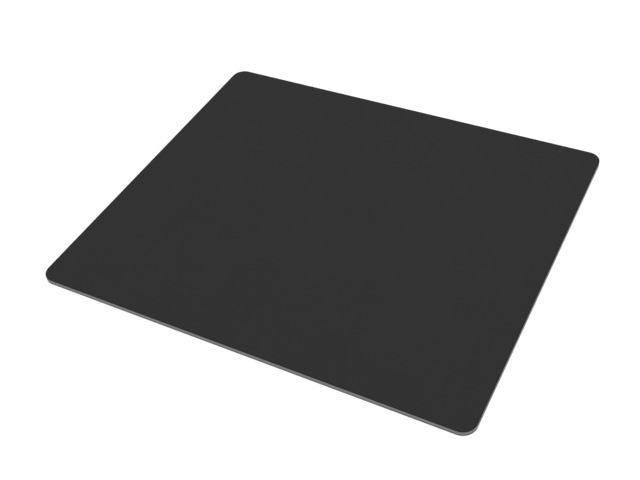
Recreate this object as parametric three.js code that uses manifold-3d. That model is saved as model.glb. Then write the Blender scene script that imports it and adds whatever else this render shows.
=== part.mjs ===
// A plain desk mouse pad: cloth face, foam core and rubber base, glued together and die-cut in one stroke.
// Lengths are in millimetres. The origin lies on the desk under the middle of the pad.
// +X runs along the long side, +Y along the short side, and +Z points up.

import * as THREE from 'three';
import { mergeVertices } from 'three/addons/utils/BufferGeometryUtils.js';
import Module from 'manifold-3d';

// Die-cut outline, the same for every layer
const PAD_WIDTH = 250;
const PAD_DEPTH = 210;
const CORNER_RADIUS = 7.5;
const CORNER_STEPS = 12;

// Layer thicknesses, from the desk up
const BASE_THICKNESS = 1.05;
const LOWER_FILM_THICKNESS = 0.1;
const FOAM_THICKNESS = 1.65;
const UPPER_FILM_THICKNESS = 0.1;
const CLOTH_THICKNESS = 0.3;

// Wavy tread moulded into the underside of the base, inside a plain land all round
const GROOVE_PITCH = 8;
const GROOVE_WIDTH = 1.6;
const GROOVE_DEPTH = 0.3;
const WAVE_LENGTH = 30;
const WAVE_RISE = 1.8;
const WAVE_STEPS = 4;
const EDGE_LAND = 2;
const TREAD_CORNER_RADIUS = 5.5;

// How far a cutter runs past the face that it opens
const CUTTER_OVERRUN = 1;

// Finishes
const RUBBER = { color: 0x5b5b5b, roughness: 0.82, metalness: 0 };
const BOND_FILM = { color: 0x707070, roughness: 0.45, metalness: 0 };
const FOAM = { color: 0x797979, roughness: 0.92, metalness: 0 };
const CLOTH = { color: 0x2e2e2e, roughness: 0.95, metalness: 0 };

const wasm = await Module();
wasm.setup();

// A closed geometry as a solid that can be cut
function toSolid(geometry) {
  const bare = geometry.clone();
  bare.deleteAttribute('normal');
  bare.deleteAttribute('uv');
  const merged = mergeVertices(bare);
  return new wasm.Manifold(new wasm.Mesh({
    numProp: 3,
    vertProperties: new Float32Array(merged.attributes.position.array),
    triVerts: new Uint32Array(merged.index.array),
  }));
}

// A cut solid as a geometry again
function toGeometry(solid) {
  const mesh = solid.getMesh();
  const geometry = new THREE.BufferGeometry();
  geometry.setAttribute('position', new THREE.BufferAttribute(mesh.vertProperties, mesh.numProp));
  geometry.setIndex(new THREE.BufferAttribute(mesh.triVerts, 1));
  geometry.computeVertexNormals();
  return geometry;
}

// A flat slab with round corners about the middle of the pad, from z = 0 up
function slabGeometry(width, depth, radius, thickness) {
  const reachX = width / 2;
  const reachY = depth / 2;
  const arcX = reachX - radius;
  const arcY = reachY - radius;
  const outline = new THREE.Shape();
  outline.moveTo(-arcX, -reachY);
  outline.lineTo(arcX, -reachY);
  outline.absarc(arcX, -arcY, radius, -Math.PI / 2, 0);
  outline.lineTo(reachX, arcY);
  outline.absarc(arcX, arcY, radius, 0, Math.PI / 2);
  outline.lineTo(-arcX, reachY);
  outline.absarc(-arcX, arcY, radius, Math.PI / 2, Math.PI);
  outline.lineTo(-reachX, -arcY);
  outline.absarc(-arcX, -arcY, radius, Math.PI, 1.5 * Math.PI);
  return new THREE.ExtrudeGeometry(outline, {
    depth: thickness,
    bevelEnabled: false,
    curveSegments: CORNER_STEPS,
  });
}

// One layer as the cutting die leaves it
function layerGeometry(thickness) {
  return slabGeometry(PAD_WIDTH, PAD_DEPTH, CORNER_RADIUS, thickness);
}

// The space that the tread may take up: all of the base but the land round its edge
function treadField() {
  const width = PAD_WIDTH - 2 * EDGE_LAND;
  const depth = PAD_DEPTH - 2 * EDGE_LAND;
  const geometry = slabGeometry(width, depth, TREAD_CORNER_RADIUS, BASE_THICKNESS + CUTTER_OVERRUN);
  geometry.translate(0, 0, -CUTTER_OVERRUN);
  return toSolid(geometry);
}

// The wave that each groove follows, as points about y = 0 that run past both short sides.
// The points lie either side of each crest, so the crests are flat and the wave is alike left and right.
function wavePoints() {
  const step = WAVE_LENGTH / WAVE_STEPS;
  const crest = WAVE_RISE / Math.cos(Math.PI / WAVE_STEPS);
  const stepsEachWay = Math.ceil(PAD_WIDTH / 2 / step) + 1;
  const points = [];
  for (let i = -stepsEachWay; i < stepsEachWay; i += 1) {
    const along = (i + 0.5) * step;
    points.push(new THREE.Vector2(along, crest * Math.cos((2 * Math.PI * along) / WAVE_LENGTH)));
  }
  return points;
}

// One groove's cutter, on the middle of the pad and running past both short sides
function grooveCutter() {
  const wave = wavePoints();
  const lowerSide = wave.map((point) => new THREE.Vector2(point.x, point.y - GROOVE_WIDTH / 2));
  const upperSide = wave.map((point) => new THREE.Vector2(point.x, point.y + GROOVE_WIDTH / 2));
  const outline = new THREE.Shape([...lowerSide, ...upperSide.reverse()]);
  const geometry = new THREE.ExtrudeGeometry(outline, {
    depth: GROOVE_DEPTH + CUTTER_OVERRUN,
    bevelEnabled: false,
  });
  geometry.translate(0, 0, -CUTTER_OVERRUN);
  return toSolid(geometry);
}

// The base with as many grooves as fit between the lands along the two long sides.
// Their number is even, so that a rib lies on the middle of the pad.
function baseGeometry() {
  const room = PAD_DEPTH - 2 * (EDGE_LAND + WAVE_RISE) - GROOVE_WIDTH;
  const pairs = Math.max(1, Math.floor((room / GROOVE_PITCH + 1) / 2));
  const cutter = grooveCutter();
  const field = treadField();
  let base = toSolid(layerGeometry(BASE_THICKNESS));
  for (let i = -pairs; i < pairs; i += 1) {
    const groove = cutter.translate([0, (i + 0.5) * GROOVE_PITCH, 0]);
    base = base.subtract(groove.intersect(field));
  }
  return toGeometry(base);
}

function makeMesh(name, geometry, finish) {
  const mesh = new THREE.Mesh(geometry, new THREE.MeshStandardMaterial(finish));
  mesh.name = name;
  return mesh;
}

// The layers in the order in which they are stacked
const layers = [
  { name: 'antislip_base', thickness: BASE_THICKNESS, finish: RUBBER, geometry: baseGeometry() },
  { name: 'lower_bond_film', thickness: LOWER_FILM_THICKNESS, finish: BOND_FILM },
  { name: 'foam_core', thickness: FOAM_THICKNESS, finish: FOAM },
  { name: 'upper_bond_film', thickness: UPPER_FILM_THICKNESS, finish: BOND_FILM },
  { name: 'surface_cloth', thickness: CLOTH_THICKNESS, finish: CLOTH },
];

const mousePad = new THREE.Group();
let height = 0;
for (const layer of layers) {
  const geometry = layer.geometry ?? layerGeometry(layer.thickness);
  const mesh = makeMesh(layer.name, geometry, layer.finish);
  mesh.position.z = height;
  height += layer.thickness;
  mousePad.add(mesh);
}

export default mousePad;
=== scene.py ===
import math
from typing import NamedTuple

import bpy
from bpy.props import FloatProperty, FloatVectorProperty, IntProperty, PointerProperty
from bpy.types import Operator, Panel, PropertyGroup
from mathutils import Euler, Matrix, Vector, noise


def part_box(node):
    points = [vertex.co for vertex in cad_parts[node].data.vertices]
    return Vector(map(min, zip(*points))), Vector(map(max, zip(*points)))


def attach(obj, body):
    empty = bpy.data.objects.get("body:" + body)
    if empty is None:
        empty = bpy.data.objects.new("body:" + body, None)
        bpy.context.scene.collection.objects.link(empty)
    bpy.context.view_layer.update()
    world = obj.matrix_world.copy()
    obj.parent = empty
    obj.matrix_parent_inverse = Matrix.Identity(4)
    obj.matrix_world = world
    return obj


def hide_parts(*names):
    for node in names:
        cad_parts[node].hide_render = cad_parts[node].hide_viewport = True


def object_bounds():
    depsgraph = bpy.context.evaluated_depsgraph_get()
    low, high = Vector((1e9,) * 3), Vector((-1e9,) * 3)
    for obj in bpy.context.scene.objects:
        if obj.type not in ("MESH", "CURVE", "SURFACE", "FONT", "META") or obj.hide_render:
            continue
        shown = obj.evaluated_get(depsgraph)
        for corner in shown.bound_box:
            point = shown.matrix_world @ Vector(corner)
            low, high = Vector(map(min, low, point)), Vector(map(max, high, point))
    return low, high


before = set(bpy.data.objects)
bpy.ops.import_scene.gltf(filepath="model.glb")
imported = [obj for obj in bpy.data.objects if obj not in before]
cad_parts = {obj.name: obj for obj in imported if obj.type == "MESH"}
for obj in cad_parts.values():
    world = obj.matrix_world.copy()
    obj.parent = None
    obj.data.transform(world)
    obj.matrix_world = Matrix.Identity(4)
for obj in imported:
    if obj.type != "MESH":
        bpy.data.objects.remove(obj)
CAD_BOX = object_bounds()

bl_info = {
    "name": "Desk mouse pad",
    "version": (1, 0, 0),
    "blender": (4, 5, 0),
    "location": "3D View > Sidebar > Mouse pad",
    "description": "Builds the layers of a die-cut desk mouse pad and a plain studio round it",
    "category": "Object",
}

BODY = "root"
MM = 0.001

PAD_LOW, PAD_HIGH = CAD_BOX
PAD_WIDTH = PAD_HIGH.x - PAD_LOW.x
PAD_DEPTH = PAD_HIGH.y - PAD_LOW.y

# Counts of the steps that make a curve
CORNER_STEPS = 24
CLOTH_ROLL_STEPS = 6
FOAM_LEVELS = 8
ROUNDING_STEPS = 4

# Edges that turn more than this stay sharp
CREASE_ANGLE = math.radians(50)

# How far a cutter runs past the face that it opens
CUTTER_OVERRUN = 1 * MM

WHITE = (1.0, 1.0, 1.0)

# A pattern that is stretched alike along the three axes
EVEN_STRETCH = (1.0, 1.0, 1.0)

# The Mix node's sockets for colours, which share their names with its sockets for numbers
MIX_SHARE, MIX_FIRST, MIX_SECOND = 0, 6, 7
MIX_RESULT = 2


# Maps that the finishes can be baked through

BAKE_MAP = "OFBake"
MAP_MARGIN = 0.004


class FaceSpot(NamedTuple):
    """Where a face of a sheet lies on its bake map, in shares of the map's side."""

    left: float
    low: float
    width: float


class MapLayout(NamedTuple):
    """Where a sheet's two faces lie on its bake map, and the rows that its cut edge is split into."""

    upper: FaceSpot
    lower: FaceSpot
    rows: int
    lowest_row: float
    row_height: float


# The cloth shows its upper face, the rubber its lower one, and the layers between only their cut edge
SHOWN_FACE = FaceSpot(left=MAP_MARGIN, low=MAP_MARGIN, width=1 - 2 * MAP_MARGIN)
CLOTH_LAYOUT = MapLayout(
    upper=SHOWN_FACE,
    lower=FaceSpot(left=MAP_MARGIN, low=0.845, width=0.08),
    rows=4, lowest_row=0.92, row_height=0.014,
)
CORE_LAYOUT = MapLayout(
    upper=FaceSpot(left=MAP_MARGIN, low=MAP_MARGIN, width=0.45),
    lower=FaceSpot(left=0.5 + MAP_MARGIN, low=MAP_MARGIN, width=0.45),
    rows=16, lowest_row=0.39, row_height=0.033,
)
RUBBER_LAYOUT = MapLayout(
    upper=FaceSpot(left=MAP_MARGIN, low=0.845, width=0.05),
    lower=SHOWN_FACE,
    rows=4, lowest_row=0.92, row_height=0.014,
)

# The walls at the grooves' ends take up one more row of the rubber's map
GROOVE_END_LAYOUT = RUBBER_LAYOUT._replace(rows=1, lowest_row=0.895)


# Settings that a user would change

class PadSizes(PropertyGroup):
    """The die-cut outline and the shape of each layer's cut edge."""

    corner_radius: FloatProperty(
        name="Corner radius",
        description="Radius of the four corners in plan",
        default=7.5 * MM, min=1 * MM, unit="LENGTH",
    )
    edge_spacing: FloatProperty(
        name="Edge spacing",
        description="Distance between points along the straight stretches of the cut edge",
        default=0.8 * MM, min=0.2 * MM, unit="LENGTH",
    )
    cloth_roll_in: FloatProperty(
        name="Cloth roll, inwards",
        description="How far in from the cut the cloth starts to roll down",
        default=0.30 * MM, min=0.0, unit="LENGTH",
    )
    cloth_roll_down: FloatProperty(
        name="Cloth roll, downwards",
        description="How far the cloth has rolled down where it is cut",
        default=0.14 * MM, min=0.0, unit="LENGTH",
    )
    foam_draw_in: FloatProperty(
        name="Foam draw-in",
        description="How far the cut foam springs back behind the die's line at its middle height",
        default=0.07 * MM, min=0.0, unit="LENGTH",
    )
    foam_tear: FloatProperty(
        name="Foam tear",
        description="How far opened cells roughen the cut foam",
        default=0.03 * MM, min=0.0, unit="LENGTH",
    )
    foam_tear_pitch: FloatProperty(
        name="Foam tear pitch",
        description="Distance from one torn patch of the cut foam to the next",
        default=1.1 * MM, min=0.1 * MM, unit="LENGTH",
    )
    glue_set_back: FloatProperty(
        name="Glue set-back",
        description="How far the glue film lies behind the die's line",
        default=0.03 * MM, min=0.0, unit="LENGTH",
    )
    rubber_edge_round: FloatProperty(
        name="Rubber edge rounding",
        description="Rounding of the base's lower edge",
        default=0.12 * MM, min=0.0, unit="LENGTH",
    )


class TreadSizes(PropertyGroup):
    """The wavy tread under the rubber base."""

    pitch: FloatProperty(
        name="Groove pitch",
        description="Distance from one groove to the next",
        default=8 * MM, min=2 * MM, unit="LENGTH",
    )
    width: FloatProperty(
        name="Groove width",
        description="Width of a groove between its walls",
        default=1.6 * MM, min=0.4 * MM, unit="LENGTH",
    )
    depth: FloatProperty(
        name="Groove depth",
        description="Depth of a groove",
        default=0.3 * MM, min=0.05 * MM, unit="LENGTH",
    )
    wave_length: FloatProperty(
        name="Wave length",
        description="Length of one wave along a groove",
        default=30 * MM, min=5 * MM, unit="LENGTH",
    )
    wave_rise: FloatProperty(
        name="Wave rise",
        description="Height of a crest above the middle of the wave",
        default=1.8 * MM, min=0.0, unit="LENGTH",
    )
    wave_steps: IntProperty(
        name="Wave steps",
        description="Straight steps in one wave",
        default=16, min=4,
    )
    edge_land: FloatProperty(
        name="Edge land",
        description="Plain strip all round, between the tread and the cut edge",
        default=2 * MM, min=0.0, unit="LENGTH",
    )
    corner_radius: FloatProperty(
        name="Tread corner radius",
        description="Radius of the corners of the field that the tread fills",
        default=5.5 * MM, min=0.5 * MM, unit="LENGTH",
    )
    rounding: FloatProperty(
        name="Rib rounding",
        description="Rounding where a rib meets a groove",
        default=0.12 * MM, min=0.0, unit="LENGTH",
    )


class PadFinishes(PropertyGroup):
    """Colours, and the scales of the fine patterns in each layer."""

    cloth_colour: FloatVectorProperty(
        name="Cloth colour",
        description="Charcoal yarn of the face",
        default=(0.0262, 0.0262, 0.0262), min=0.0, max=1.0, subtype="COLOR",
    )
    lint_colour: FloatVectorProperty(
        name="Lint colour",
        description="Stray pale fibres on the face",
        default=(0.12, 0.12, 0.12), min=0.0, max=1.0, subtype="COLOR",
    )
    foam_colour: FloatVectorProperty(
        name="Foam colour",
        description="Cut edge of the foam layer",
        default=(0.187, 0.187, 0.187), min=0.0, max=1.0, subtype="COLOR",
    )
    rubber_colour: FloatVectorProperty(
        name="Rubber colour",
        description="Base layer, underside and cut edge",
        default=(0.102, 0.102, 0.102), min=0.0, max=1.0, subtype="COLOR",
    )
    glue_colour: FloatVectorProperty(
        name="Glue colour",
        description="Hot-melt film between the layers",
        default=(0.15, 0.15, 0.15), min=0.0, max=1.0, subtype="COLOR",
    )
    thread_pitch: FloatProperty(
        name="Thread pitch",
        description="Distance from one thread of the cloth to the next",
        default=0.42 * MM, min=0.1 * MM, unit="LENGTH",
    )
    thread_rise: FloatProperty(
        name="Thread rise",
        description="How far a thread stands above the gaps between threads",
        default=0.05 * MM, min=0.0, unit="LENGTH",
    )
    heather_size: FloatProperty(
        name="Heather size",
        description="Width of the faint lighter and darker flecks in the cloth",
        default=1.6 * MM, min=0.1 * MM, unit="LENGTH",
    )
    handling_size: FloatProperty(
        name="Handling size",
        description="Width of the faint patches that handling leaves on the cloth",
        default=55 * MM, min=1 * MM, unit="LENGTH",
    )
    lint_spacing: FloatProperty(
        name="Lint spacing",
        description="Distance from one stray fibre to the next",
        default=9 * MM, min=1 * MM, unit="LENGTH",
    )
    lint_size: FloatProperty(
        name="Lint size",
        description="How far a stray fibre reaches each way",
        default=0.14 * MM, min=0.01 * MM, unit="LENGTH",
    )
    # The cloth darkens towards the cut over this width: partly pressed denser by the die, partly
    # painted shade along the edge
    pressed_and_shaded_rim_width: FloatProperty(
        name="Pressed rim",
        description="Width of the rim that the die presses denser and darker",
        default=0.9 * MM, min=0.1 * MM, unit="LENGTH",
    )
    foam_cell: FloatProperty(
        name="Foam cell",
        description="Width of a cell in the foam",
        default=0.24 * MM, min=0.05 * MM, unit="LENGTH",
    )
    foam_cell_depth: FloatProperty(
        name="Foam cell depth",
        description="Depth of a cell that the die has opened",
        default=0.05 * MM, min=0.0, unit="LENGTH",
    )
    foam_patch: FloatProperty(
        name="Foam patch",
        description="Width of the faint lighter and darker patches in the foam",
        default=3.5 * MM, min=0.5 * MM, unit="LENGTH",
    )
    rubber_grain: FloatProperty(
        name="Rubber grain",
        description="Pitch of the fine fabric impression on the rubber",
        default=0.9 * MM, min=0.1 * MM, unit="LENGTH",
    )
    rubber_grain_depth: FloatProperty(
        name="Rubber grain depth",
        description="Depth of the fabric impression on the rubber",
        default=0.04 * MM, min=0.0, unit="LENGTH",
    )
    rubber_speck: FloatProperty(
        name="Rubber speck",
        description="Width of the filler specks in the rubber",
        default=0.16 * MM, min=0.05 * MM, unit="LENGTH",
    )
    rubber_bloom: FloatProperty(
        name="Rubber bloom",
        description="Width of the pale patches that bloom on the rubber",
        default=18 * MM, min=1 * MM, unit="LENGTH",
    )
    rubber_streak: FloatProperty(
        name="Rubber streak",
        description="Width of the streaks that calendering leaves in the rubber",
        default=1.2 * MM, min=0.1 * MM, unit="LENGTH",
    )
    glue_streak: FloatProperty(
        name="Glue streak",
        description="Length of the streaks that the die draws out of the glue",
        default=2.5 * MM, min=0.1 * MM, unit="LENGTH",
    )
    glue_streak_rise: FloatProperty(
        name="Glue streak rise",
        description="How far a streak stands out of the cut glue",
        default=0.01 * MM, min=0.0, unit="LENGTH",
    )


class StudioSettings(PropertyGroup):
    """Camera, floor and light."""

    camera_place: FloatVectorProperty(
        name="Camera place",
        description="Where the camera stands",
        default=(0.19925, -0.32253, 0.35461), subtype="TRANSLATION", unit="LENGTH",
    )
    camera_turn: FloatProperty(
        name="Camera turn",
        description="Turn about the vertical, from looking along +Y",
        default=math.radians(31.432), unit="ROTATION",
    )
    camera_tilt: FloatProperty(
        name="Camera tilt",
        description="Angle that the camera looks down by",
        default=math.radians(44.505), unit="ROTATION",
    )
    camera_roll: FloatProperty(
        name="Camera roll",
        description="Turn about the camera's own axis",
        default=math.radians(-6.2827), unit="ROTATION",
    )
    camera_lens: FloatProperty(
        name="Focal length",
        description="Focal length in millimetres on the camera's sensor",
        default=51.490, min=10.0, unit="CAMERA",
    )
    camera_sensor: FloatProperty(
        name="Sensor width",
        description="Width of the camera's sensor in millimetres",
        default=36.0, min=1.0, unit="CAMERA",
    )
    camera_shift: FloatProperty(
        name="Sideways shift",
        description="Shift of the frame, as a share of its width",
        default=-0.02628,
    )
    camera_near: FloatProperty(
        name="Nearest distance",
        description="Nothing closer to the camera than this is drawn",
        default=0.01, min=0.001, unit="LENGTH",
    )
    dome_strength: FloatProperty(
        name="Dome strength",
        description="Brightness of the even white light from all round",
        default=1.0, min=0.0,
    )
    panel_place: FloatVectorProperty(
        name="Light panel place",
        description="Where the soft panel hangs. It faces the middle of the pad",
        default=(0.5, 0.1, 1.25), subtype="TRANSLATION", unit="LENGTH",
    )
    panel_size: FloatProperty(
        name="Light panel size",
        description="Side of the square soft panel",
        default=1.2, min=0.01, unit="LENGTH",
    )
    panel_power: FloatProperty(
        name="Light panel power",
        description="Power of the soft panel",
        default=3.7, min=0.0, unit="POWER",
    )
    floor_reach: FloatProperty(
        name="Floor reach",
        description="How far the floor runs each way from the pad",
        default=12.0, min=1.0, unit="LENGTH",
    )
    floor_colour: FloatVectorProperty(
        name="Floor colour",
        description="Plain pale floor",
        default=(0.25, 0.25, 0.25), min=0.0, max=1.0, subtype="COLOR",
    )
    floor_glow: FloatProperty(
        name="Floor glow",
        description="Light that comes up through the floor, as on a light table",
        default=0.8, min=0.0,
    )


# Shader maths

class Value:
    """One output of a node. Python's operators on it add Math nodes."""

    def __init__(self, finish, socket):
        self.finish = finish
        self.socket = socket

    def __add__(self, other):
        return self.finish.maths("ADD", self, other)

    def __sub__(self, other):
        return self.finish.maths("SUBTRACT", self, other)

    def __rsub__(self, other):
        return self.finish.maths("SUBTRACT", other, self)

    def __mul__(self, other):
        return self.finish.maths("MULTIPLY", self, other)

    def __abs__(self):
        return self.finish.maths("ABSOLUTE", self)

    __radd__ = __add__
    __rmul__ = __mul__


class Finish:
    """A material in the making. shader holds the values that are the same all over."""

    def __init__(self, name, shader):
        self.material = bpy.data.materials.new(name)
        self.material.use_nodes = True
        self.tree = self.material.node_tree
        self.shader = self.tree.nodes["Principled BSDF"]
        for socket, value in shader.items():
            self.shader.inputs[socket].default_value = value

    def feed(self, socket, value):
        """Links a Value to a socket, or sets the socket to a plain value."""
        if isinstance(value, Value):
            self.tree.links.new(value.socket, socket)
        else:
            socket.default_value = value

    def node(self, kind, settings=None, sockets=None, output=0):
        """Adds a node: its settings first, then its sockets' values or links."""
        node = self.tree.nodes.new(kind)
        for name, value in (settings or {}).items():
            setattr(node, name, value)
        for name, value in (sockets or {}).items():
            self.feed(node.inputs[name], value)
        return Value(self, node.outputs[output])

    def maths(self, operation, *values):
        return self.node("ShaderNodeMath", {"operation": operation}, dict(enumerate(values)))

    def vector(self, operation, *vectors):
        return self.node("ShaderNodeVectorMath", {"operation": operation}, dict(enumerate(vectors)))

    def span(self, value, low, high, to_low=0.0, to_high=1.0):
        """Maps low to high of a value on to to_low to to_high, and no further."""
        return self.node(
            "ShaderNodeMapRange",
            {"clamp": True, "interpolation_type": "SMOOTHSTEP"},
            {"Value": value, "From Min": low, "From Max": high, "To Min": to_low, "To Max": to_high},
        )

    def mix(self, share, first, second, blend="MIX"):
        """A colour between two colours, or another blend of them."""
        return self.node(
            "ShaderNodeMix",
            {"data_type": "RGBA", "blend_type": blend},
            {MIX_SHARE: share, MIX_FIRST: first, MIX_SECOND: second},
            output=MIX_RESULT,
        )

    def shade(self, colour, brightness):
        """A colour made lighter or darker by a value about 1."""
        return self.mix(1.0, (*colour, 1.0), brightness, blend="MULTIPLY")

    def brightness(self, marks):
        """A value about 1 that each mark, from 0 to 1, moves by its contrast from end to end."""
        total = 1 - sum(contrast for _, contrast in marks) / 2
        for mark, contrast in marks:
            total = total + contrast * mark
        return total

    def place(self, pitch=1.0, stretch=EVEN_STRETCH):
        """Where a point of the surface lies, counted in pitches along each axis."""
        found = self.node("ShaderNodeTexCoord", output="Object")
        return self.vector("MULTIPLY", found, [share / pitch for share in stretch])

    def clouds(self, pitch, stretch=EVEN_STRETCH, detail=2.0):
        """Soft noise from 0 to 1 whose patches are about a pitch wide."""
        return self.node(
            "ShaderNodeTexNoise",
            {"noise_dimensions": "3D"},
            {"Vector": self.place(pitch, stretch), "Scale": 1.0, "Detail": detail},
        )

    def cells(self, place, evenness):
        """Distance from the middle of the nearest cell, in cell widths."""
        return self.node(
            "ShaderNodeTexVoronoi",
            {"feature": "F1", "voronoi_dimensions": "3D"},
            {"Vector": place, "Scale": 1.0, "Randomness": 1 - evenness},
        )

    def wander(self, place, pitch, reach):
        """The same place, pushed about by slow noise, so that a pattern isn't ruled."""
        push = self.node(
            "ShaderNodeTexNoise",
            {"noise_dimensions": "3D"},
            {"Vector": self.place(pitch), "Scale": 1.0, "Detail": 1.0},
            output="Color",
        )
        both_ways = self.node(
            "ShaderNodeVectorMath", {"operation": "SCALE"}, {0: push, "Scale": 2 * reach}
        )
        return self.vector("ADD", place, both_ways)

    def weave(self, pitch, wander_pitches, wander_reach):
        """A plain weave in the pad's plane: its height from 0 to 1, and the share of warp on top.

        Its threads wander by wander_reach pitches over stretches of wander_pitches."""
        crossing = 0.12
        crown = 0.55
        threads = self.wander(self.place(pitch), wander_pitches * pitch, wander_reach)
        across = self.node("ShaderNodeSeparateXYZ", sockets={"Vector": threads}, output="X")
        along = self.node("ShaderNodeSeparateXYZ", sockets={"Vector": threads}, output="Y")
        warp_wave = self.maths("SINE", across * math.pi)
        weft_wave = self.maths("SINE", along * math.pi)
        warp_on_top = self.span(warp_wave * weft_wave, -crossing, crossing)
        warp = abs(warp_wave) * (crown + (1 - crown) * abs(weft_wave))
        weft = abs(weft_wave) * (crown + (1 - crown) * abs(warp_wave))
        return warp_on_top * warp + (1 - warp_on_top) * weft, warp_on_top

    def inside_cut(self, radius):
        """How far a point lies inside the die's line, up to the corner radius."""
        in_plan = self.place(stretch=(1.0, 1.0, 0.0))
        arc_centre = (PAD_WIDTH / 2 - radius, PAD_DEPTH / 2 - radius, 0.0)
        past_centre = self.vector("SUBTRACT", self.vector("ABSOLUTE", in_plan), arc_centre)
        outwards = self.vector("MAXIMUM", past_centre, (0.0, 0.0, 0.0))
        reach = self.node(
            "ShaderNodeVectorMath", {"operation": "LENGTH"}, {0: outwards}, output="Value"
        )
        return radius - reach

    def bump(self, height, rise):
        """Feeds the surface's normal from a height from 0 to 1 that stands rise metres high."""
        bumped = self.node("ShaderNodeBump", sockets={"Distance": rise, "Height": height})
        self.feed(self.shader.inputs["Normal"], bumped)

    def colour(self, value):
        self.feed(self.shader.inputs["Base Color"], value)

    def roughness(self, value):
        self.feed(self.shader.inputs["Roughness"], value)


def cloth_finish(sizes, looks):
    """Fine plain-woven charcoal polyester: matt yarns, painted highlights on the thread crowns and
    painted shade in the gaps, a faint heather, stray fibres, and a darker band along the cut, partly
    pressed denser and partly painted shade.
    """
    gloss = 0.06
    # Painted highlight and painted shade: the threads' crowns are painted lighter and the gaps between
    # them darker
    thread_highlight_and_gap_shade = 0.22
    yarn_contrast = 0.20
    heather_contrast = 0.10
    handling_contrast = 0.08
    # Darkening towards the cut: partly the die's pressing, partly painted shade along the edge
    pressing_and_painted_shade_darkening = 0.26
    lint_share = 0.55
    lint_core = 0.6
    yarn_pitches = 2.2
    yarn_stretch = 0.06
    yarn_rise = 0.4
    gap_roughness = 0.98
    thread_polish = 0.08
    finish = Finish("woven_polyester", {"Specular IOR Level": gloss})
    height, warp_on_top = finish.weave(looks.thread_pitch, wander_pitches=14, wander_reach=0.35)
    yarn_width = yarn_pitches * looks.thread_pitch
    warp_yarns = finish.clouds(yarn_width, (1.0, yarn_stretch, 1.0))
    weft_yarns = finish.clouds(yarn_width, (yarn_stretch, 1.0, 1.0))
    yarn = warp_on_top * warp_yarns + (1 - warp_on_top) * weft_yarns
    # The weave's height paints the crowns lighter and the gaps darker (painted highlight and shade);
    # yarn, heather and handling are the cloth's own colour
    brightness = finish.brightness([
        (height, thread_highlight_and_gap_shade),
        (yarn, yarn_contrast),
        (finish.clouds(looks.heather_size, detail=3.0), heather_contrast),
        (finish.clouds(looks.handling_size, detail=1.0), handling_contrast),
    ])
    # Painted shade, together with the die's pressing, darkens the cloth towards the cut
    pressed_and_shaded_rim = finish.span(finish.inside_cut(sizes.corner_radius), 0.0, looks.pressed_and_shaded_rim_width, 1.0, 0.0)
    yarn_colour = finish.shade(looks.cloth_colour, brightness * (1 - pressing_and_painted_shade_darkening * pressed_and_shaded_rim))
    from_fibre = finish.cells(finish.place(looks.lint_spacing), evenness=0.0)
    fibre_reach = looks.lint_size / looks.lint_spacing
    lint = finish.span(from_fibre, lint_core * fibre_reach, fibre_reach, lint_share, 0.0)
    finish.colour(finish.mix(lint, yarn_colour, (*looks.lint_colour, 1.0)))
    finish.roughness(gap_roughness - thread_polish * height)
    finish.bump(height + yarn_rise * yarn, looks.thread_rise)
    return finish.material


def foam_finish(looks):
    """Cut closed-cell foam: opened cells whose hollows are painted darker than their pale walls, as
    painted shade.
    """
    gloss = 0.2
    # Painted shade: the cells' hollows are painted darker than their walls
    hollow_painted_shade = 0.16
    patch_contrast = 0.14
    hollow_reach = 0.2
    wall_reach = 0.62
    hollow_roughness = 0.86
    wall_roughening = 0.1
    finish = Finish("cut_foam", {"Specular IOR Level": gloss})
    from_middle = finish.cells(finish.place(looks.foam_cell), evenness=0.1)
    walls = finish.span(from_middle, hollow_reach, wall_reach)
    patches = finish.clouds(looks.foam_patch, detail=3.0)
    # The hollows' painted shade, and the foam's own faint patches
    brightness = finish.brightness([(walls, hollow_painted_shade), (patches, patch_contrast)])
    finish.colour(finish.shade(looks.foam_colour, brightness))
    finish.roughness(hollow_roughness + wall_roughening * walls)
    finish.bump(walls, looks.foam_cell_depth)
    return finish.material


def rubber_finish(looks):
    """Grey sheet rubber: a fine fabric impression, filler specks, faint bloom and a matt skin."""
    gloss = 0.3
    impression_contrast = 0.06
    speck_contrast = 0.08
    bloom_contrast = 0.12
    streak_contrast = 0.06
    streak_stretch = (0.2, 0.2, 2.0)
    speck_rise = 0.5
    skin_roughness = 0.66
    speck_roughening = 0.12
    bloom_roughening = 0.12
    finish = Finish("sheet_rubber", {"Specular IOR Level": gloss})
    impression, _ = finish.weave(looks.rubber_grain, wander_pitches=14, wander_reach=0.12)
    specks = finish.clouds(looks.rubber_speck, detail=3.0)
    bloom = finish.clouds(looks.rubber_bloom, detail=4.0)
    streaks = finish.clouds(looks.rubber_streak, streak_stretch)
    brightness = finish.brightness([
        (impression, impression_contrast),
        (specks, speck_contrast),
        (bloom, bloom_contrast),
        (streaks, streak_contrast),
    ])
    finish.colour(finish.shade(looks.rubber_colour, brightness))
    finish.roughness(skin_roughness + speck_roughening * specks + bloom_roughening * bloom)
    finish.bump(impression + speck_rise * specks, looks.rubber_grain_depth)
    return finish.material


def glue_finish(looks):
    """Hot-melt film: smoother than what it joins, with drawn-out streaks at the cut."""
    gloss = 0.4
    streak_contrast = 0.3
    streak_stretch = (1.0, 1.0, 8.0)
    film_roughness = 0.4
    streak_roughening = 0.2
    finish = Finish("glue_film", {"Specular IOR Level": gloss})
    streaks = finish.clouds(looks.glue_streak, streak_stretch, detail=3.0)
    finish.colour(finish.shade(looks.glue_colour, finish.brightness([(streaks, streak_contrast)])))
    finish.roughness(film_roughness + streak_roughening * streaks)
    finish.bump(streaks, looks.glue_streak_rise)
    return finish.material


# Shapes

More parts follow.
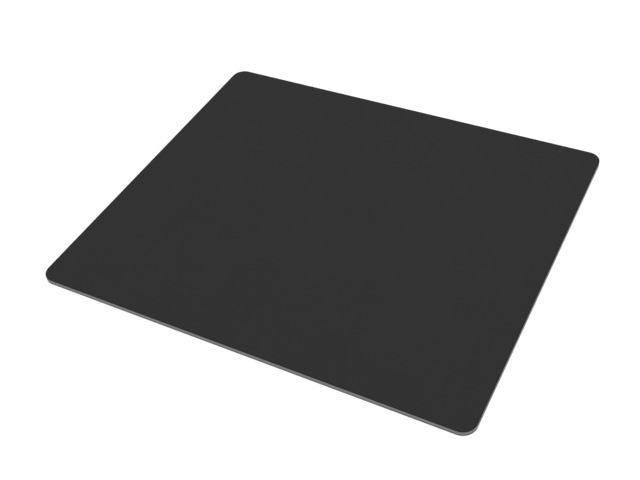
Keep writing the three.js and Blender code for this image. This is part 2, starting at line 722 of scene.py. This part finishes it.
def rounded_line(width, depth, radius, spacing):
    """A rounded rectangle, anticlockwise from above: its points, each with its outward direction."""
    quarter_turn = 90
    arc_x = width / 2 - radius
    arc_y = depth / 2 - radius
    corners = [(arc_x, -arc_y), (arc_x, arc_y), (-arc_x, arc_y), (-arc_x, -arc_y)]
    centres = [Vector(corner) for corner in corners]
    line = []
    for index, centre in enumerate(centres):
        start = quarter_turn * (index - 1)
        for step in range(CORNER_STEPS + 1):
            angle = math.radians(start + quarter_turn * step / CORNER_STEPS)
            out = Vector((math.cos(angle), math.sin(angle)))
            line.append((centre + radius * out, out))
        end, out = line[-1]
        next_start = centres[(index + 1) % len(centres)] + radius * out
        steps = max(1, round((next_start - end).length / spacing))
        for step in range(1, steps):
            line.append((end.lerp(next_start, step / steps), out))
    return line


def die_line(sizes):
    """The outline that the cutting die leaves."""
    return rounded_line(PAD_WIDTH, PAD_DEPTH, sizes.corner_radius, sizes.edge_spacing)


def tube_faces(first, count, rings):
    """The faces of a closed tube: its walls from ring to ring, then its two ends.

    Each ring has count points, and the first ring's are numbered from first."""
    faces = []
    last = first + (rings - 1) * count
    for low in range(first, last, count):
        high = low + count
        for i in range(count):
            j = (i + 1) % count
            faces.append((low + i, low + j, high + j, high + i))
    faces.append(tuple(range(first + count - 1, first - 1, -1)))
    faces.append(tuple(range(last, last + count)))
    return faces


def running_total(lengths):
    """Where each length starts when they are laid end to end, and where the last one ends."""
    places = [0.0]
    for length in lengths:
        places.append(places[-1] + length)
    return places


def place_on_map(spot, x, y, side=1):
    """Where a point of a sheet's upper face lies on its map, or of its lower face where side is -1."""
    across = spot.left + spot.width * (0.5 + side * x / PAD_WIDTH)
    up = spot.low + spot.width * (y + PAD_DEPTH / 2) / PAD_WIDTH
    return across, up


def give_map(mesh, corners):
    """Adds a bake map with a place for each corner of each face, in the order of the faces."""
    layer = mesh.uv_layers.new(name=BAKE_MAP, do_init=False)
    layer.uv.foreach_set("vector", [share for corner in corners for share in corner])


def lay_on_map(mesh, line, profile, layout):
    """Gives a sheet that follows a line and a profile its bake map."""
    count = len(line)
    points = [point for point, _ in line]
    steps = [(points[(i + 1) % count] - points[i]).length for i in range(count)]
    along = running_total(steps)
    up = running_total(math.dist(low, high) for low, high in zip(profile, profile[1:]))
    row_length = along[-1] / layout.rows
    stretch = (1 - 2 * MAP_MARGIN) / (row_length + max(steps))
    corners = []
    for level in range(len(profile) - 1):
        for i in range(count):
            row = int(along[i] / row_length)
            row_start = row * row_length
            left, right = (MAP_MARGIN + (place - row_start) * stretch for place in along[i:i + 2])
            row_low = layout.lowest_row + row * (layout.row_height + MAP_MARGIN)
            low, high = (row_low + layout.row_height * rise / up[-1] for rise in up[level:level + 2])
            corners += [(left, low), (right, low), (right, high), (left, high)]
    corners += [place_on_map(layout.lower, point.x, point.y, side=-1) for point in reversed(points)]
    corners += [place_on_map(layout.upper, point.x, point.y) for point in points]
    give_map(mesh, corners)


def cut_sheet(line, profile, layout, tear=None):
    """A closed sheet inside a line, with its bake map.

    Its cut edge follows profile, a list of (set-back from the line, height), from the bottom up.
    Between the first and the last ring, tear(point, height) gives how much further it is set back."""
    points = []
    last = len(profile) - 1
    for level, (set_back, height) in enumerate(profile):
        torn_here = tear is not None and 0 < level < last
        for point, out in line:
            torn = tear(point, height) if torn_here else 0.0
            place = point - (set_back + torn) * out
            points.append((place.x, place.y, height))
    mesh = bpy.data.meshes.new("sheet")
    mesh.from_pydata(points, [], tube_faces(0, len(line), len(profile)))
    lay_on_map(mesh, line, profile, layout)
    return mesh


def quarter_round(set_back, rise, steps):
    """Steps of a quarter ellipse, from (0, 0) at the cut to (set_back, rise) on the face."""
    angles = [math.pi / 2 * step / steps for step in range(steps + 1)]
    return [(set_back * (1 - math.cos(angle)), rise * math.sin(angle)) for angle in angles]


def finish_piece(name, mesh, material, node):
    """Makes a mesh a shown piece of the pad that stands for one layer of the frame."""
    mesh.name = name
    mesh.materials.clear()
    mesh.materials.append(material)
    mesh.shade_smooth()
    mesh.set_sharp_from_angle(angle=CREASE_ANGLE)
    piece = bpy.data.objects.new(name, mesh)
    bpy.context.collection.objects.link(piece)
    flat_faces = piece.modifiers.new("flat_faces", "WEIGHTED_NORMAL")
    flat_faces.keep_sharp = True
    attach(piece, BODY)
    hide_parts(node)
    return piece


def layer_heights(node):
    """The heights of a layer's lower and upper face."""
    low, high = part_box(node)
    return low.z, high.z


def make_cloth(sizes, looks):
    """The cloth, whose rim rolls down to where the die cut it."""
    bottom, top = layer_heights("surface_cloth")
    roll = quarter_round(sizes.cloth_roll_in, sizes.cloth_roll_down, CLOTH_ROLL_STEPS)
    profile = [(0.0, bottom)]
    profile += [(set_back, top - sizes.cloth_roll_down + rise) for set_back, rise in roll]
    mesh = cut_sheet(die_line(sizes), profile, CLOTH_LAYOUT)
    material = cloth_finish(sizes, looks)
    piece = finish_piece("woven_face", mesh, material, "surface_cloth")


def make_foam(sizes, looks):
    """The foam, whose cut edge springs back behind the die's line and is torn in long low patches."""
    patch_flatness = 3
    bottom, top = layer_heights("foam_core")
    profile = []
    for level in range(FOAM_LEVELS + 1):
        share = level / FOAM_LEVELS
        draw_in = sizes.foam_draw_in * math.sin(math.pi * share)
        profile.append((draw_in, bottom + (top - bottom) * share))

    def tear(point, height):
        patch = Vector((point.x, point.y, patch_flatness * height)) / sizes.foam_tear_pitch
        return sizes.foam_tear * (1 + noise.noise(patch)) / 2

    mesh = cut_sheet(die_line(sizes), profile, CORE_LAYOUT, tear)
    piece = finish_piece("foam_layer", mesh, foam_finish(looks), "foam_core")


def make_glue_line(name, node, sizes, material):
    """A glue film, whose cut edge reaches the die's line only at its middle height."""
    bottom, top = layer_heights(node)
    middle = (bottom + top) / 2
    profile = [(sizes.glue_set_back, bottom), (0.0, middle), (sizes.glue_set_back, top)]
    mesh = cut_sheet(die_line(sizes), profile, CORE_LAYOUT)
    finish_piece(name, mesh, material, node)


def groove_section(tread):
    """A groove's cross-section as (distance from its middle, height), in order round it."""
    wall = tread.width / 2
    mouth = quarter_round(tread.rounding, tread.rounding, ROUNDING_STEPS)
    half = [(wall + tread.rounding, -CUTTER_OVERRUN)]
    half += [(wall + tread.rounding - across, up) for up, across in mouth]
    half.append((wall, tread.depth - tread.rounding / 2))
    half.append((wall - tread.rounding / 2, tread.depth))
    return half + [(-across, up) for across, up in reversed(half)]


def flattened(section):
    """Where the points of a groove's cross-section lie when its walls are spread out in its mouth."""
    mouth = section[1:-1]
    places = running_total(math.dist(near, far) for near, far in zip(mouth, mouth[1:]))
    edge, _ = mouth[0]
    spread = [edge * (1 - 2 * place / places[-1]) for place in places]
    return [edge, *spread, -edge]


def groove_middles(tread):
    """Where the middle lines of the grooves lie, from the front to the back of the pad."""
    room = PAD_DEPTH - 2 * (tread.edge_land + tread.wave_rise) - tread.width
    pairs = max(1, math.floor((room / tread.pitch + 1) / 2))
    return [(groove + 0.5) * tread.pitch for groove in range(-pairs, pairs)]


def groove_bars(tread):
    """The grooves of the tread as one mesh of separate closed bars that run past both short sides."""
    section = groove_section(tread)
    spread = flattened(section)
    step = tread.wave_length / tread.wave_steps
    steps_each_way = math.ceil((PAD_WIDTH / 2 + CUTTER_OVERRUN) / step)
    stations = range(-steps_each_way, steps_each_way + 1)
    points, places, faces = [], [], []
    for middle in groove_middles(tread):
        faces += tube_faces(len(points), len(section), len(stations))
        for station in stations:
            x = station * step
            y = middle + tread.wave_rise * math.cos(2 * math.pi * x / tread.wave_length)
            points += [(x, y + across, up) for across, up in section]
            places += [place_on_map(RUBBER_LAYOUT.lower, x, y + across, side=-1) for across in spread]
    mesh = bpy.data.meshes.new("groove_bars")
    mesh.from_pydata(points, [], faces)
    give_map(mesh, [places[index] for face in faces for index in face])
    return mesh


def tread_field(tread):
    """The space that the tread may take up: a slab that leaves the land round the base's edge."""
    width = PAD_WIDTH - 2 * tread.edge_land
    depth = PAD_DEPTH - 2 * tread.edge_land
    line = rounded_line(width, depth, tread.corner_radius, spacing=PAD_WIDTH)
    profile = [(0.0, -CUTTER_OVERRUN), (0.0, tread.depth + CUTTER_OVERRUN)]
    return cut_sheet(line, profile, GROOVE_END_LAYOUT)


def combine(mesh, other, operation):
    """One mesh cut by another: INTERSECT keeps what both fill, DIFFERENCE takes the other away.

    Both are used up."""
    body = bpy.data.objects.new("cut_body", mesh)
    tool = bpy.data.objects.new("cut_tool", other)
    for thing in (body, tool):
        bpy.context.collection.objects.link(thing)
    cut = body.modifiers.new("cut", "BOOLEAN")
    cut.operation = operation
    cut.solver = "MANIFOLD"
    cut.object = tool
    bpy.context.view_layer.update()
    made = bpy.data.meshes.new_from_object(body.evaluated_get(bpy.context.evaluated_depsgraph_get()))
    for thing in (body, tool):
        bpy.data.objects.remove(thing)
    for used in (mesh, other):
        bpy.data.meshes.remove(used)
    return made


def make_rubber_base(sizes, tread, looks):
    """The rubber sheet, with its lower edge rounded and the tread's grooves cut out of it."""
    bottom, top = layer_heights("antislip_base")
    rounding = sizes.rubber_edge_round
    edge = quarter_round(rounding, rounding, ROUNDING_STEPS)
    profile = [(set_back, bottom + rounding - rise) for set_back, rise in reversed(edge)]
    profile.append((0.0, top))
    blank = cut_sheet(die_line(sizes), profile, RUBBER_LAYOUT)
    grooves = combine(groove_bars(tread), tread_field(tread), "INTERSECT")
    mesh = combine(blank, grooves, "DIFFERENCE")
    finish_piece("rubber_base", mesh, rubber_finish(looks), "antislip_base")


# Studio

def make_camera(studio):
    """The camera at the photograph's viewing angle."""
    data = bpy.data.cameras.new("camera")
    data.sensor_width = studio.camera_sensor
    data.lens = studio.camera_lens
    data.shift_x = studio.camera_shift
    data.clip_start = studio.camera_near
    camera = bpy.data.objects.new("camera", data)
    facing = Euler((math.pi / 2 - studio.camera_tilt, 0.0, studio.camera_turn)).to_matrix().to_4x4()
    roll = Matrix.Rotation(studio.camera_roll, 4, "Z")
    camera.matrix_world = Matrix.Translation(studio.camera_place) @ facing @ roll
    bpy.context.collection.objects.link(camera)
    bpy.context.scene.camera = camera


def make_floor(studio):
    """A plain floor that glows, so that the pad throws no shadow on it."""
    reach = studio.floor_reach
    mesh = bpy.data.meshes.new("floor")
    corners = [(-reach, -reach, 0.0), (reach, -reach, 0.0), (reach, reach, 0.0), (-reach, reach, 0.0)]
    mesh.from_pydata(corners, [], [(0, 1, 2, 3)])
    finish = Finish("pale_floor", {
        "Base Color": (*studio.floor_colour, 1.0),
        "Roughness": 1.0,
        "Specular IOR Level": 0.0,
        "Emission Color": (*WHITE, 1.0),
        "Emission Strength": studio.floor_glow,
    })
    mesh.materials.append(finish.material)
    floor = bpy.data.objects.new("floor", mesh)
    bpy.context.collection.objects.link(floor)


def make_light(studio):
    """An even white dome, and a soft panel that faces the middle of the pad."""
    world = bpy.data.worlds.new("white_dome")
    world.use_nodes = True
    dome = world.node_tree.nodes["Background"]
    dome.inputs["Color"].default_value = (*WHITE, 1.0)
    dome.inputs["Strength"].default_value = studio.dome_strength
    bpy.context.scene.world = world
    data = bpy.data.lights.new("soft_panel", "AREA")
    data.shape = "SQUARE"
    data.size = studio.panel_size
    data.energy = studio.panel_power
    panel = bpy.data.objects.new("soft_panel", data)
    panel.location = studio.panel_place
    panel.rotation_euler = (-panel.location).to_track_quat("-Z", "Y").to_euler()
    bpy.context.collection.objects.link(panel)


# Operators

class MOUSEPAD_OT_studio(Operator):
    """Sets up the camera, a plain pale floor and a soft white light."""

    bl_idname = "mouse_pad.studio"
    bl_label = "Set up the studio"

    def execute(self, context):
        context.scene.view_settings.view_transform = "Standard"
        make_camera(context.scene.pad_studio)
        make_floor(context.scene.pad_studio)
        make_light(context.scene.pad_studio)
        return {"FINISHED"}


class MOUSEPAD_OT_rubber_base(Operator):
    """Makes the rubber base with the wavy tread underneath."""

    bl_idname = "mouse_pad.rubber_base"
    bl_label = "Make the rubber base"

    def execute(self, context):
        scene = context.scene
        make_rubber_base(scene.pad_sizes, scene.pad_tread, scene.pad_finishes)
        return {"FINISHED"}


class MOUSEPAD_OT_glue_lines(Operator):
    """Makes the two glue films that hold the layers together."""

    bl_idname = "mouse_pad.glue_lines"
    bl_label = "Make the glue films"

    def execute(self, context):
        sizes = context.scene.pad_sizes
        material = glue_finish(context.scene.pad_finishes)
        make_glue_line("lower_glue_line", "lower_bond_film", sizes, material)
        make_glue_line("upper_glue_line", "upper_bond_film", sizes, material)
        return {"FINISHED"}


class MOUSEPAD_OT_foam_layer(Operator):
    """Makes the foam layer with its drawn-in cut edge."""

    bl_idname = "mouse_pad.foam_layer"
    bl_label = "Make the foam layer"

    def execute(self, context):
        make_foam(context.scene.pad_sizes, context.scene.pad_finishes)
        return {"FINISHED"}


class MOUSEPAD_OT_woven_face(Operator):
    """Makes the woven cloth face with its rolled edge."""

    bl_idname = "mouse_pad.woven_face"
    bl_label = "Make the woven face"

    def execute(self, context):
        make_cloth(context.scene.pad_sizes, context.scene.pad_finishes)
        return {"FINISHED"}


class MOUSEPAD_PT_sidebar(Panel):
    """Lists the pad's settings and the steps that build it."""

    bl_label = "Mouse pad"
    bl_idname = "MOUSEPAD_PT_sidebar"
    bl_space_type = "VIEW_3D"
    bl_region_type = "UI"
    bl_category = "Mouse pad"

    def draw(self, context):
        for settings in SETTINGS:
            box = self.layout.box()
            group = getattr(context.scene, settings)
            for name in group.__annotations__:
                box.prop(group, name)
        for step in STEPS:
            self.layout.operator(step.bl_idname)


SETTINGS = {
    "pad_sizes": PadSizes,
    "pad_tread": TreadSizes,
    "pad_finishes": PadFinishes,
    "pad_studio": StudioSettings,
}
STEPS = (
    MOUSEPAD_OT_studio,
    MOUSEPAD_OT_rubber_base,
    MOUSEPAD_OT_glue_lines,
    MOUSEPAD_OT_foam_layer,
    MOUSEPAD_OT_woven_face,
)
CLASSES = (*SETTINGS.values(), *STEPS, MOUSEPAD_PT_sidebar)


def register():
    for cls in CLASSES:
        bpy.utils.register_class(cls)
    for name, group in SETTINGS.items():
        setattr(bpy.types.Scene, name, PointerProperty(type=group))


def unregister():
    for name in SETTINGS:
        delattr(bpy.types.Scene, name)
    for cls in reversed(CLASSES):
        bpy.utils.unregister_class(cls)


def main():
    register()
    bpy.ops.mouse_pad.studio()
    bpy.ops.mouse_pad.rubber_base()
    bpy.ops.mouse_pad.glue_lines()
    bpy.ops.mouse_pad.foam_layer()
    bpy.ops.mouse_pad.woven_face()


if __name__ == "__main__":
    main()
